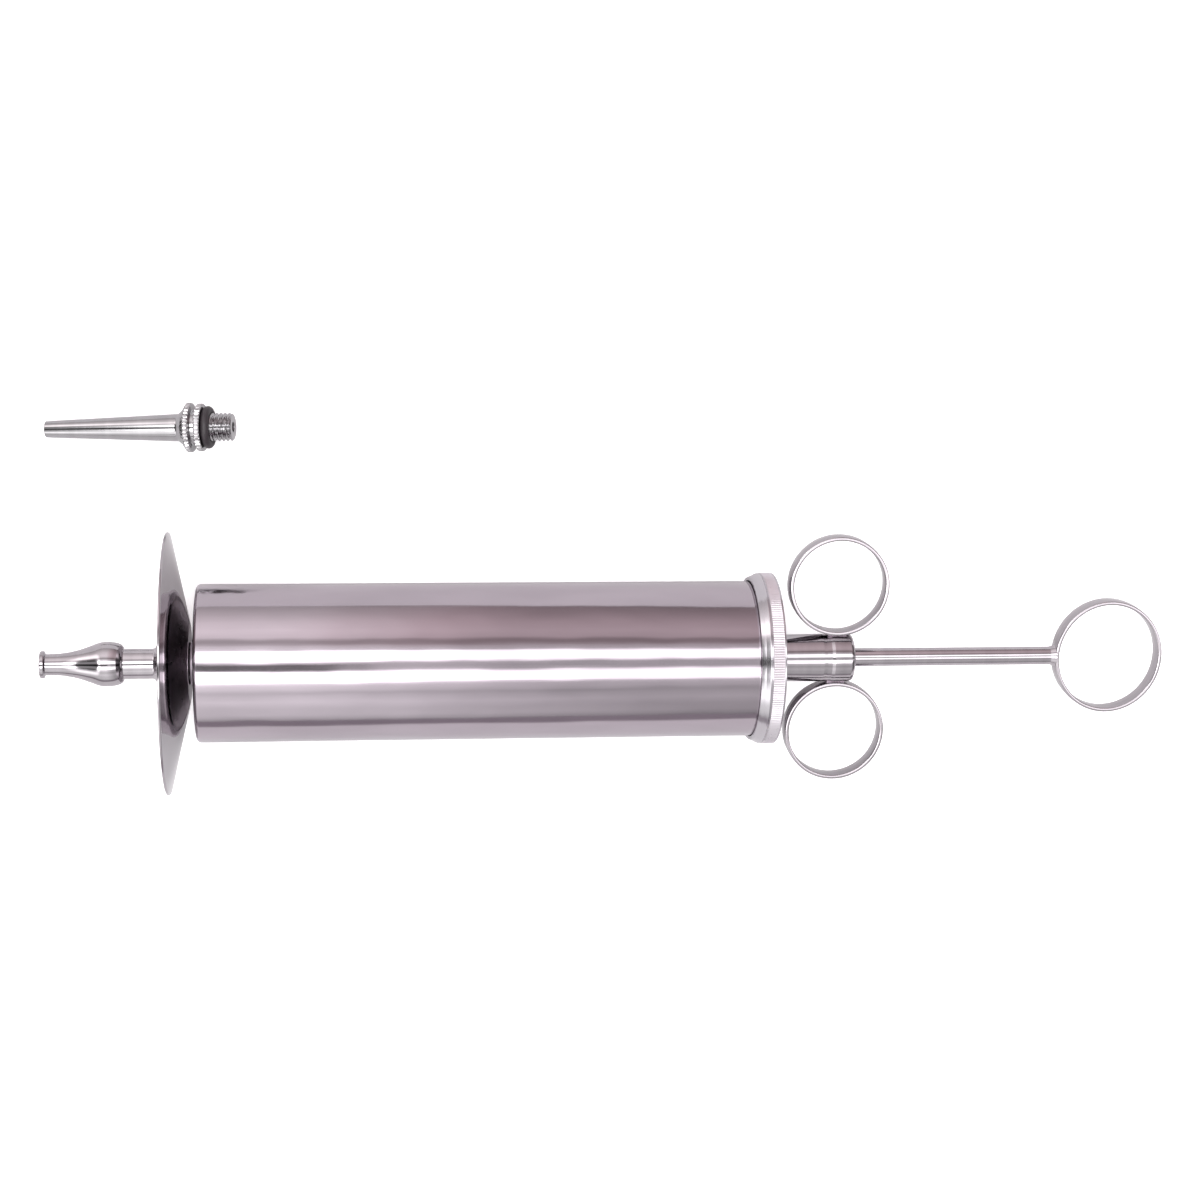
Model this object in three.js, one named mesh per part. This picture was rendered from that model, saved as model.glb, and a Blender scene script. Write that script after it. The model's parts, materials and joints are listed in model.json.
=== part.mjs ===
// A stainless steel piston syringe with finger rings, a splash shield and a spare nozzle, lying on a table.
// Units are millimetres and +Z is up. The syringe is modelled along +X in its own group, from the nozzle tip
// to the thumb ring, with X = 0 at the barrel's front end. That group is then laid down on its shield and cap.
import * as THREE from "three";

// Driving dimensions -------------------------------------------------------------------------------------

const GAP = 0.3; // between two pieces that touch
const LARGE = 48; // sides of a large round piece
const SMALL = 24; // sides of a small round piece

// Barrel
const BORE_R = 21.2;
const BARREL_R = 22;
const BARREL_END = 159.3;
const LIP_R = 1.4; // rounding at the barrel's front edge
const LIP_INNER_R = 19.6;
const PLATE_THICK = 1.6;
const SOCKET_R = 6;
const SOCKET_FLANGE_R = 9;
const SOCKET_FRONT = -1.7;
const SOCKET_BACK = 5.4;

// Screw threads, drawn as plain lands at their outer radius. The cap's thread is on the barrel itself.
const NOZZLE_THREAD_R = 4.1;
const THREAD_CLEARANCE = 0.15;

// Cap
const CAP_FRONT = 154.9;
const CAP_REAR = 161.7;
const CAP_R = 24.3;
const CAP_LIP_R = 23.05;
const CAP_MOUTH_R = 22.5;
const CAP_MOUTH_DEPTH = 1.2;
const CAP_BEVEL = 2.6; // length of the conical front
const CAP_EDGE_R = 0.8;
const CAP_WALL = 1.2;
const GASKET_THICK = 0.6;

// Guide sleeve and finger rings
const SLEEVE_FRONT_R = 6.55;
const SLEEVE_R = 6.8;
const SLEEVE_BORE_R = 4.9;
const SLEEVE_REAR = 185.1;
const SLEEVE_FLANGE_R = 9;
const GROOVE_X = 177.4;
const GROOVE_WIDTH = 3.1;
const GROOVE_DEPTH = 0.35;
const FINGER_RING_X = 180.2;
const FINGER_RING_R = 14.35;
const FINGER_RING_THICK = 1.2;
const BAND_WIDTH = 5.3;

// Plunger
const ROD_R = 2.6;
const ROD_CLEARANCE = 0.1;
const ROD_FRONT = 6.1;
const THUMB_RING_X = 259.9;
const THUMB_RING_R = 15.8;
const THUMB_RING_THICK = 1.15;
const THUMB_RING_STRETCH = 1.04; // across the rod, against along it
const PISTON_R = 20.9;
const PISTON_FRONT = 10.4;
const PISTON_PLATE = 2.2;
const PISTON_CORE = 2.8;
const PISTON_CORE_R = 18.3;
const NUT_FLATS = 8;
const NUT_HEIGHT = 3.4;

// Splash shield
const SHIELD_R = 36.5;
const SHIELD_RIM_X = -8.2;
const SHIELD_THICK = 0.8;
const SHIELD_FLAT_R = 11;
const SHIELD_HOLE_R = 4.4;
const SHIELD_BACK = SOCKET_FRONT - GAP;

// Nozzles
const STEM_R = 4.22;
const OUTLET_R = 1.5;
const FLANGE_R = 7.2;
const BACK_FLANGE_R = 6.9;
const FLANGE_NECK_R = 5;
const SEAL_WIRE_R = 1;
const OLIVE_REAR = -20;
const OLIVE_R = 6.2;
const TIP_X = -42.7;
const TIP_LIP_R = 3.8;
const TIP_NECK_R = 2.97;
const TIP_BORE_R = 2.3;
const SPARE_CONE = 40.8;
const SPARE_TIP_R = 2.3;
const SPARE_CONE_R = 3.85;
const SPARE_SPIGOT = 8.6;

// Where the pieces lie on the table
const ROLL = THREE.MathUtils.degToRad(13); // the finger rings' plane, about the barrel's axis
const SPARE_X = -47.8; // the spare nozzle's tip, from the barrel's front end
const SPARE_Y = 67.6; // the spare nozzle's axis, from the syringe's axis

// Materials ----------------------------------------------------------------------------------------------

const steel = (color, roughness) => new THREE.MeshStandardMaterial({ color, roughness, metalness: 1 });
const POLISHED = steel(0xd4d0d6, 0.12);
const DRAWN = steel(0xc3bcc2, 0.22);
const TURNED = steel(0xc9c6ca, 0.3);
const RUBBER = new THREE.MeshStandardMaterial({ color: 0x2a262a, roughness: 0.55, metalness: 0 });

// Shapes -------------------------------------------------------------------------------------------------

// A solid of revolution about X, from a closed outline of [x, radius] points that runs with the outside on
// its left: towards +X along the bore, and back towards -X along the outer face.
function turned(outline, sides) {
  const closed = [...outline, outline[0]].reverse();
  const points = closed.map(([x, r]) => new THREE.Vector2(r, x));
  return new THREE.LatheGeometry(points, sides).rotateZ(-Math.PI / 2);
}

// Points of a round corner about [x, radius], from one angle to another in degrees, 0 along +X and 90 outwards.
function corner(x, radius, r, from, to, steps = 3) {
  return Array.from({ length: steps + 1 }, (_, i) => {
    const angle = THREE.MathUtils.degToRad(from + ((to - from) * i) / steps);
    return [x + r * Math.cos(angle), radius + r * Math.sin(angle)];
  });
}

// A plain ring or tube between two places on the axis.
function tube(from, to, inner, outer, sides) {
  return turned([[from, inner], [to, inner], [to, outer], [from, outer]], sides);
}

// A rubber ring round the X axis.
function sealRing(x, centreRadius, wireRadius, sides) {
  return turned(corner(x, centreRadius, wireRadius, 270, 585, 7), sides);
}

// A flat band bent into a ring round the Z axis, with broken edges.
function bandRing(outerRadius, thickness, width) {
  const inner = outerRadius - thickness;
  const half = width / 2;
  const bevel = 0.25;
  const outline = [
    [-half, inner + bevel],
    [-half + bevel, inner],
    [half - bevel, inner],
    [half, inner + bevel],
    [half, outerRadius - bevel],
    [half - bevel, outerRadius],
    [-half + bevel, outerRadius],
    [-half, outerRadius - bevel],
  ];
  return turned(outline, LARGE).rotateY(-Math.PI / 2);
}

// A hexagon nut on the X axis, starting at x.
function hexNut(x) {
  const corners = Array.from({ length: 6 }, (_, i) => {
    const angle = (i * Math.PI) / 3;
    return new THREE.Vector2(Math.cos(angle), Math.sin(angle)).multiplyScalar(NUT_FLATS / Math.sqrt(3));
  });
  const shape = new THREE.Shape(corners);
  shape.holes.push(new THREE.Path().absarc(0, 0, ROD_R + GAP, 0, 2 * Math.PI, true));
  const settings = { depth: NUT_HEIGHT, bevelEnabled: false, curveSegments: SMALL };
  return new THREE.ExtrudeGeometry(shape, settings).rotateY(Math.PI / 2).translate(x, 0, 0);
}

// A named piece of one material.
function piece(name, geometry, material) {
  const mesh = new THREE.Mesh(geometry, material);
  mesh.name = name;
  return mesh;
}

// Barrel -------------------------------------------------------------------------------------------------

function barrelPieces() {
  const barrelTube = turned(
    [
      ...corner(LIP_R, BARREL_R - LIP_R, LIP_R - (BARREL_R - BORE_R), 180, 90),
      [BARREL_END, BORE_R],
      [BARREL_END, BARREL_R],
      ...corner(LIP_R, BARREL_R - LIP_R, LIP_R, 90, 180, 4),
      [0, LIP_INNER_R],
      [BARREL_R - BORE_R, LIP_INNER_R],
    ],
    LARGE,
  );
  const plateFront = BARREL_R - BORE_R + GAP;
  const plateBack = plateFront + PLATE_THICK;
  const frontPlate = tube(plateFront, plateBack, SOCKET_R + GAP, LIP_INNER_R + 0.7, LARGE);
  const socket = turned(
    [
      [SOCKET_FRONT, NOZZLE_THREAD_R + THREAD_CLEARANCE],
      [SOCKET_BACK - 0.9, NOZZLE_THREAD_R + THREAD_CLEARANCE],
      [SOCKET_BACK - 0.9, OUTLET_R + 0.5],
      [SOCKET_BACK, OUTLET_R + 0.5],
      [SOCKET_BACK, SOCKET_FLANGE_R - 0.5],
      [SOCKET_BACK - 0.5, SOCKET_FLANGE_R],
      [plateBack + GAP, SOCKET_FLANGE_R],
      [plateBack + GAP, SOCKET_R],
      [SOCKET_FRONT + 0.3, SOCKET_R],
      [SOCKET_FRONT, SOCKET_R - 0.3],
    ],
    SMALL,
  );
  return [
    piece("barrel_tube", barrelTube, DRAWN),
    piece("barrel_front_plate", frontPlate, DRAWN),
    piece("nozzle_socket", socket, TURNED),
  ];
}

// Cap, guide sleeve and finger rings ---------------------------------------------------------------------

function capPieces() {
  const threadR = BARREL_R + THREAD_CLEARANCE;
  const wallFront = CAP_REAR - CAP_WALL;
  const gasketFront = wallFront - GAP - GASKET_THICK;
  const gasket = tube(gasketFront, wallFront - GAP, 19, threadR - 0.3, LARGE);
  const cap = turned(
    [
      [CAP_FRONT, CAP_MOUTH_R],
      [CAP_FRONT + CAP_MOUTH_DEPTH - 0.3, CAP_MOUTH_R],
      [CAP_FRONT + CAP_MOUTH_DEPTH, threadR],
      [wallFront, threadR],
      [wallFront, SLEEVE_FRONT_R + GAP],
      [CAP_REAR, SLEEVE_FRONT_R + GAP],
      ...corner(CAP_REAR - CAP_EDGE_R, CAP_R - CAP_EDGE_R, CAP_EDGE_R, 0, 90),
      [CAP_FRONT + CAP_BEVEL, CAP_R],
      [CAP_FRONT, CAP_LIP_R],
    ],
    LARGE,
  );
  const flangeFront = wallFront - GAP - 1;
  const grooveR = SLEEVE_R - GROOVE_DEPTH;
  const sleeve = turned(
    [
      [flangeFront, SLEEVE_BORE_R],
      [SLEEVE_REAR - 0.5, SLEEVE_BORE_R],
      [SLEEVE_REAR - 0.5, SLEEVE_R - 0.3],
      ...corner(SLEEVE_REAR - 1.1, SLEEVE_R - 0.6, 0.6, 30, 90, 2),
      [GROOVE_X + GROOVE_WIDTH / 2, SLEEVE_R],
      [GROOVE_X + GROOVE_WIDTH / 2 - 0.5, grooveR],
      [GROOVE_X - GROOVE_WIDTH / 2 + 0.5, grooveR],
      [GROOVE_X - GROOVE_WIDTH / 2, SLEEVE_R],
      [CAP_REAR + GAP, SLEEVE_FRONT_R],
      [wallFront - GAP, SLEEVE_FRONT_R],
      [wallFront - GAP, SLEEVE_FLANGE_R],
      [flangeFront, SLEEVE_FLANGE_R],
    ],
    SMALL,
  );
  const bushR = SLEEVE_BORE_R - GAP;
  const bush = turned(
    [
      [SLEEVE_REAR - 9, ROD_R + ROD_CLEARANCE],
      [SLEEVE_REAR, ROD_R + ROD_CLEARANCE],
      [SLEEVE_REAR, SLEEVE_R - 1.2],
      [SLEEVE_REAR - 0.4, SLEEVE_R - 0.6],
      [SLEEVE_REAR - 0.4, bushR],
      [SLEEVE_REAR - 9, bushR],
    ],
    SMALL,
  );
  const ringOffset = SLEEVE_R + GAP + FINGER_RING_R;
  const fingerRing = (side) =>
    bandRing(FINGER_RING_R, FINGER_RING_THICK, BAND_WIDTH).translate(FINGER_RING_X, side * ringOffset, 0);
  return [
    piece("cap_gasket", gasket, RUBBER),
    piece("screw_cap", cap, POLISHED),
    piece("guide_sleeve", sleeve, POLISHED),
    piece("rod_bush", bush, TURNED),
    piece("finger_ring_left", fingerRing(1), POLISHED),
    piece("finger_ring_right", fingerRing(-1), POLISHED),
  ];
}

// Plunger ------------------------------------------------------------------------------------------------

function plungerPieces() {
  const rodRear = THUMB_RING_X - THUMB_RING_R - GAP;
  const rod = new THREE.CylinderGeometry(ROD_R, ROD_R, rodRear - ROD_FRONT, SMALL)
    .rotateZ(Math.PI / 2)
    .translate((rodRear + ROD_FRONT) / 2, 0, 0);
  const coreFront = PISTON_FRONT + PISTON_PLATE + GAP;
  const backFront = coreFront + PISTON_CORE + GAP;
  const sealWire = (PISTON_R + 0.15 - PISTON_CORE_R - GAP) / 2;
  const plate = (x) =>
    turned(
      [
        [x, ROD_R + GAP],
        [x + PISTON_PLATE, ROD_R + GAP],
        [x + PISTON_PLATE, PISTON_R - 0.3],
        [x + PISTON_PLATE - 0.3, PISTON_R],
        [x + 0.3, PISTON_R],
        [x, PISTON_R - 0.3],
      ],
      LARGE,
    );
  const core = tube(coreFront, coreFront + PISTON_CORE, ROD_R + GAP, PISTON_CORE_R, LARGE);
  const seal = sealRing(coreFront + PISTON_CORE / 2, PISTON_CORE_R + GAP + sealWire, sealWire, LARGE);
  const thumbRing = bandRing(THUMB_RING_R, THUMB_RING_THICK, BAND_WIDTH)
    .scale(1, THUMB_RING_STRETCH, 1)
    .translate(THUMB_RING_X, 0, 0);
  return [
    piece("plunger_rod", rod, POLISHED),
    piece("thumb_ring", thumbRing, POLISHED),
    piece("piston_front_nut", hexNut(PISTON_FRONT - GAP - NUT_HEIGHT), TURNED),
    piece("piston_front_plate", plate(PISTON_FRONT), TURNED),
    piece("piston_core", core, TURNED),
    piece("piston_seal", seal, RUBBER),
    piece("piston_back_plate", plate(backFront), TURNED),
    piece("piston_back_nut", hexNut(backFront + PISTON_PLATE + GAP), TURNED),
  ];
}

// Nozzles and shield -------------------------------------------------------------------------------------

// The outline of a nozzle's two flanges and threaded spigot, from the spigot's end forwards. The back flange's
// rear face is at x, and the seal ring sits between it and what the nozzle is screwed against.
function nozzleRear(x, spigotEnd, frontFlange, neck) {
  const backFront = x - 1.8;
  const frontBack = backFront - neck;
  return [
    [spigotEnd, NOZZLE_THREAD_R - 0.5],
    [spigotEnd - 0.5, NOZZLE_THREAD_R],
    [x, NOZZLE_THREAD_R],
    [x, BACK_FLANGE_R - 0.3],
    [x - 0.3, BACK_FLANGE_R],
    [backFront + 0.3, BACK_FLANGE_R],
    [backFront, BACK_FLANGE_R - 0.3],
    [backFront, FLANGE_NECK_R],
    [frontBack, FLANGE_NECK_R],
    [frontBack, FLANGE_R - 0.3],
    [frontBack - 0.4, FLANGE_R],
    [frontBack - frontFlange / 2, FLANGE_R],
    [frontBack - frontFlange, FLANGE_R - 1.4],
  ];
}

function nozzlePieces() {
  const slope = (SHIELD_BACK - SHIELD_THICK - SHIELD_RIM_X) / (SHIELD_R - SHIELD_FLAT_R);
  const shieldFront = SHIELD_BACK - SHIELD_THICK;
  const shield = turned(
    [
      [shieldFront, SHIELD_HOLE_R],
      [SHIELD_BACK, SHIELD_HOLE_R],
      [SHIELD_BACK, SHIELD_FLAT_R - 2],
      [SHIELD_BACK - slope * 1.2, SHIELD_FLAT_R + 2],
      [SHIELD_RIM_X + SHIELD_THICK, SHIELD_R - 0.1],
      [SHIELD_RIM_X + SHIELD_THICK / 2, SHIELD_R],
      [SHIELD_RIM_X, SHIELD_R - 0.1],
      [shieldFront - slope * 1.2, SHIELD_FLAT_R + 2],
      [shieldFront, SHIELD_FLAT_R - 2],
    ],
    LARGE,
  );
  const sealX = shieldFront - GAP - SEAL_WIRE_R;
  const flangeX = sealX - SEAL_WIRE_R - GAP;
  const tenonR = STEM_R - 1.1;
  const body = turned(
    [
      [OLIVE_REAR - 6, OUTLET_R],
      [SOCKET_BACK - 1.3, OUTLET_R],
      ...nozzleRear(flangeX, SOCKET_BACK - 1.3, 2.2, 1.3),
      [flangeX - 5.3, STEM_R],
      [OLIVE_REAR + GAP, STEM_R],
      [OLIVE_REAR + GAP, tenonR],
      [OLIVE_REAR - 6, tenonR],
    ],
    SMALL,
  );
  const oliveCurve = new THREE.SplineCurve(
    [[-20, 4.7], [-20.8, 5.4], [-22.3, 6], [-24.4, OLIVE_R], [-26.6, 6.05], [-29.7, 4.84], [-33, 3.8],
      [-36.8, TIP_NECK_R + 0.05], [-40.6, TIP_NECK_R]].map(([x, r]) => new THREE.Vector2(x, r)),
  );
  const olive = turned(
    [
      [TIP_X + 0.3, TIP_BORE_R],
      [TIP_X + 3, OUTLET_R],
      [OLIVE_REAR - 6 - GAP, OUTLET_R],
      [OLIVE_REAR - 6 - GAP, tenonR + GAP],
      [OLIVE_REAR, tenonR + GAP],
      ...oliveCurve.getPoints(12).map((p) => [p.x, p.y]),
      [TIP_X + 1.3, TIP_LIP_R],
      [TIP_X + 0.4, TIP_LIP_R],
      [TIP_X, TIP_LIP_R - 0.4],
      [TIP_X, TIP_BORE_R + 0.3],
    ],
    SMALL,
  );
  const seal = sealRing(sealX, NOZZLE_THREAD_R + GAP + SEAL_WIRE_R, SEAL_WIRE_R, SMALL);
  return [
    piece("splash_shield", shield, POLISHED),
    piece("nozzle_body", body, POLISHED),
    piece("olive_tip", olive, POLISHED),
    piece("nozzle_seal", seal, RUBBER),
  ];
}

// The spare nozzle along +X from its tip at the origin.
function spareNozzlePieces() {
  const flangeX = SPARE_CONE + 2.7 + 1.5 + 1.8;
  const spigotEnd = flangeX + SPARE_SPIGOT;
  const body = turned(
    [
      [0, SPARE_TIP_R - 0.7],
      [SPARE_CONE, OUTLET_R],
      [spigotEnd, OUTLET_R],
      ...nozzleRear(flangeX, spigotEnd, 2.7, 1.5),
      [SPARE_CONE - 0.8, SPARE_CONE_R + 0.3],
      [SPARE_CONE - 2, SPARE_CONE_R],
      [0, SPARE_TIP_R],
    ],
    SMALL,
  );
  const sealX = flangeX + GAP + SEAL_WIRE_R;
  const seal = sealRing(sealX, NOZZLE_THREAD_R + GAP + SEAL_WIRE_R, SEAL_WIRE_R, SMALL);
  return [
    piece("spare_nozzle_body", body, POLISHED),
    piece("spare_nozzle_seal", seal, RUBBER),
  ];
}

// Placing ------------------------------------------------------------------------------------------------

// The syringe leans on the shield's rim and the cap's rear edge, rolled about its axis as it lies.
function layDown(syringe) {
  const shieldRest = SHIELD_RIM_X + SHIELD_THICK / 2;
  const capRest = CAP_REAR - CAP_EDGE_R;
  const pitch = Math.atan((SHIELD_R - CAP_R) / (capRest - shieldRest));
  syringe.rotation.set(ROLL, pitch, 0, "YXZ");
  syringe.position.z = SHIELD_R * Math.cos(pitch) + shieldRest * Math.sin(pitch);
}

// The spare nozzle leans on its tip and its front flange.
function layDownSpare(spare) {
  const flangeRest = SPARE_CONE + 1.35;
  const pitch = -Math.atan((FLANGE_R - SPARE_TIP_R) / flangeRest);
  spare.rotation.y = pitch;
  spare.position.set(SPARE_X, SPARE_Y, SPARE_TIP_R * Math.cos(pitch));
}

// Puts the origin at the bottom centre of the whole object's box.
function centreOnBase(group) {
  group.updateMatrixWorld(true);
  const box = new THREE.Box3().setFromObject(group, true);
  const middle = box.getCenter(new THREE.Vector3());
  group.children.forEach((child) => child.position.sub(new THREE.Vector3(middle.x, middle.y, box.min.z)));
}

const syringe = new THREE.Group();
syringe.name = "syringe";
syringe.add(...barrelPieces(), ...capPieces(), ...plungerPieces(), ...nozzlePieces());
layDown(syringe);

const spareNozzle = new THREE.Group();
spareNozzle.name = "spare_nozzle";
spareNozzle.add(...spareNozzlePieces());
layDownSpare(spareNozzle);

const object = new THREE.Group();
object.add(syringe, spareNozzle);
centreOnBase(object);

export default object;
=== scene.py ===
"""A stainless steel piston syringe with finger rings, splash shield and spare nozzle, on a pale table.

Shapes are in millimetres in the syringe's own frame: +X along the barrel from the nozzle to the thumb ring with
X = 0 at the barrel's front end, +Y towards the left finger ring, +Z out of the finger rings' plane. The spare
nozzle's frame has +X along its axis to the spigot with X = 0 at its tip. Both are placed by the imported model's
joints and mounts, which are in metres.
"""

import json
import math

import bmesh
import bpy
import numpy as np
from mathutils import Matrix, Vector


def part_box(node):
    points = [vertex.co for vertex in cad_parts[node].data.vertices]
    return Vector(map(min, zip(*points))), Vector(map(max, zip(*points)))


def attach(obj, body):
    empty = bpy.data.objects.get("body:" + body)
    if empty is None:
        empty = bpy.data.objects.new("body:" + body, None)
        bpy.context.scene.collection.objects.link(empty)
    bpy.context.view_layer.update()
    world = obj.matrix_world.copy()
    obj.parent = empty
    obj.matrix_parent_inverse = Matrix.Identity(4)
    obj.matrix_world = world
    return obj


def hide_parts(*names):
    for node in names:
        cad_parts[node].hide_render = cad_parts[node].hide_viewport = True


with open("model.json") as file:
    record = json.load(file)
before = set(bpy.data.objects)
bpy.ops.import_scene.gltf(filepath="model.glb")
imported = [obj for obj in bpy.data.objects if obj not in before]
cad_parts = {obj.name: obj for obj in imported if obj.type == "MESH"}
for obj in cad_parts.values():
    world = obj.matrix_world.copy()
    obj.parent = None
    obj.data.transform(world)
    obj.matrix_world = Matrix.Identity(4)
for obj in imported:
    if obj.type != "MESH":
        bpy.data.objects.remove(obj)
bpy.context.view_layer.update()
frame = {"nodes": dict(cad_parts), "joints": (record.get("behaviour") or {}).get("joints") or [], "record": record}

# Where things are -----------------------------------------------------------------------------------------

MM = 0.001
SHIELD_PIVOT_X = -5  # the shield's pivot point in the syringe's frame
SPARE_FACE = Vector((55.4, 2.6, 0))  # the spare nozzle's end face point in its own frame

joints = {joint["name"]: joint for joint in frame["joints"]}
mounts = {mount["name"]: mount for mount in frame["record"]["mounts"]}


def box_centre(node):
    low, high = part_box(node)
    return (Vector(low) + Vector(high)) / 2


def frame_matrix(x_axis, y_hint, point, local_point):
    """The frame with that X axis, Y near y_hint, and local_point (mm) at point (m)."""
    x = x_axis.normalized()
    z = x.cross(y_hint).normalized()
    y = z.cross(x)
    turn = Matrix((x, y, z)).transposed()
    origin = point - turn @ (local_point * MM)
    return Matrix.Translation(origin) @ turn.to_4x4()


SYRINGE = frame_matrix(
    Vector(joints["plunger_spin"]["axis"]),
    box_centre("finger_ring_left") - box_centre("finger_ring_right"),
    Vector(joints["shield_turn"]["pos_m"]),
    Vector((SHIELD_PIVOT_X, 0, 0)),
)
SPARE = frame_matrix(
    Vector(mounts["spare_spigot_end"]["axis"]),
    Vector((0, 1, 0)),
    Vector(mounts["spare_spigot_end"]["pos_m"]),
    SPARE_FACE,
)

# Shape helpers --------------------------------------------------------------------------------------------


def fillet(corners, steps=5):
    """A closed outline with each corner (x, r, radius) rounded; a corner of radius 0 stays sharp."""
    out = []
    count = len(corners)
    for i, (x, r, radius) in enumerate(corners):
        here = np.array((x, r), float)
        if radius == 0:
            out.append(here)
            continue
        before = np.array(corners[i - 1][:2], float) - here
        after = np.array(corners[(i + 1) % count][:2], float) - here
        before_length = np.linalg.norm(before)
        after_length = np.linalg.norm(after)
        before /= before_length
        after /= after_length
        half = math.acos(float(np.clip(before @ after, -1, 1))) / 2
        reach = min(radius / math.tan(half), 0.49 * before_length, 0.49 * after_length)
        true_radius = reach * math.tan(half)
        bisector = before + after
        bisector /= np.linalg.norm(bisector)
        centre = here + bisector * true_radius / math.sin(half)
        start = here + before * reach - centre
        end = here + after * reach - centre
        sweep = math.atan2(start[0] * end[1] - start[1] * end[0], start @ end)
        for step in range(steps + 1):
            angle = sweep * step / steps
            turn = np.array(((math.cos(angle), -math.sin(angle)), (math.sin(angle), math.cos(angle))))
            out.append(centre + turn @ start)
    return out


def refine(points, low, high, step, least_radius):
    """Adds points along the outline where it lies between x low and high and outside least_radius."""
    out = []
    for i, point in enumerate(points):
        after = points[(i + 1) % len(points)]
        out.append(point)
        inside = (
            min(point[0], after[0]) >= low - 1e-6
            and max(point[0], after[0]) <= high + 1e-6
            and min(point[1], after[1]) >= least_radius
        )
        pieces = int(np.linalg.norm(after - point) / step) if inside else 1
        for k in range(1, pieces):
            out.append(point + (after - point) * k / pieces)
    return out


def new_object(name, vertices, faces, matrix, sharp=30):
    """A smooth-shaded object from vertices in mm in a local frame, with its place in its mesh."""
    mesh = bpy.data.meshes.new(name)
    mesh.from_pydata([tuple(v) for v in np.asarray(vertices) * MM], [], faces)
    built = bmesh.new()
    built.from_mesh(mesh)
    bmesh.ops.remove_doubles(built, verts=built.verts, dist=1e-7)
    bmesh.ops.recalc_face_normals(built, faces=built.faces)
    built.to_mesh(mesh)
    built.free()
    mesh.transform(matrix)
    mesh.shade_smooth()
    mesh.set_sharp_from_angle(angle=math.radians(sharp))
    piece = bpy.data.objects.new(name, mesh)
    bpy.context.scene.collection.objects.link(piece)
    return piece


def turned(name, outline, matrix, sides=160, relief=None):
    """A solid of revolution about X. relief(x, r, angle) gives how far the surface is cut in, in mm."""
    outline = np.array(outline, float)
    angles = np.linspace(0, 2 * math.pi, sides, endpoint=False)
    x = np.repeat(outline[:, 0], sides).reshape(-1, sides)
    r = np.repeat(outline[:, 1], sides).reshape(-1, sides)
    if relief:
        r = r - relief(x, r, np.broadcast_to(angles, x.shape))
    vertices = np.stack((x, r * np.cos(angles), r * np.sin(angles)), -1).reshape(-1, 3)
    rows = len(outline)
    faces = []
    for i in range(rows):
        j = (i + 1) % rows
        for k in range(sides):
            m = (k + 1) % sides
            faces.append((i * sides + k, i * sides + m, j * sides + m, j * sides + k))
    return new_object(name, vertices, faces, matrix)


def straight_knurl(teeth, depth, low, high, radius):
    """Rounded grooves along X round the outside, fading out at both ends of the band."""
    runout = 0.25
    skin = 0.1
    groove_power = 1.6  # above 1, the grooves are narrower than the lands

    def relief(x, r, angle):
        wave = (0.5 + 0.5 * np.cos(teeth * angle)) ** groove_power
        ends = np.clip((x - low) / runout, 0, 1) * np.clip((high - x) / runout, 0, 1)
        outside = np.clip((r - radius) / skin, 0, 1)
        return depth * wave * ends * outside

    return relief


def screw_thread(pitch, depth, low, high, least_radius):
    """A right-hand V thread outside least_radius that runs out at both ends."""
    start_runout = 0.6 * pitch
    end_runout = 0.4 * pitch
    skin = 0.05

    def relief(x, r, angle):
        phase = (x / pitch + angle / (2 * math.pi)) % 1
        wave = np.clip(1.25 * np.abs(2 * phase - 1) - 0.12, 0, 1)  # flat crest and root
        ends = np.clip((x - low) / start_runout, 0, 1) * np.clip((high - x) / end_runout, 0, 1)
        outside = np.clip((r - least_radius) / skin, 0, 1)
        return depth * wave * ends * outside

    return relief


def torus(name, x, centre_radius, wire, matrix, squash):
    """A seal ring round X. squash is its width along X over its thickness."""
    angles = np.linspace(0, 2 * math.pi, 28, endpoint=False)
    outline = [(x + wire * squash * math.cos(a), centre_radius + wire * math.sin(a)) for a in angles]
    return turned(name, outline, matrix, 128)


def band_ring(name, centre, outer, thick, width, matrix, stretch=1.0):
    """A flat band bent into a ring round Z, stretched along Y, with rounded edges and crowned faces."""
    inner = outer - thick
    half = width / 2
    edge = 0.34
    crown = 0.06
    outline = fillet(
        [
            (-half, inner + 0.05, edge),
            (0, inner - crown, 6),
            (half, inner + 0.05, edge),
            (half, outer - 0.05, edge),
            (0, outer + crown, 6),
            (-half, outer - 0.05, edge),
        ]
    )
    oval = Matrix.Diagonal((1, stretch, 1, 1))
    place = matrix @ Matrix.Translation(Vector(centre) * MM) @ oval @ Matrix.Rotation(-math.pi / 2, 4, "Y")
    return turned(name, outline, place, 192)


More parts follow.
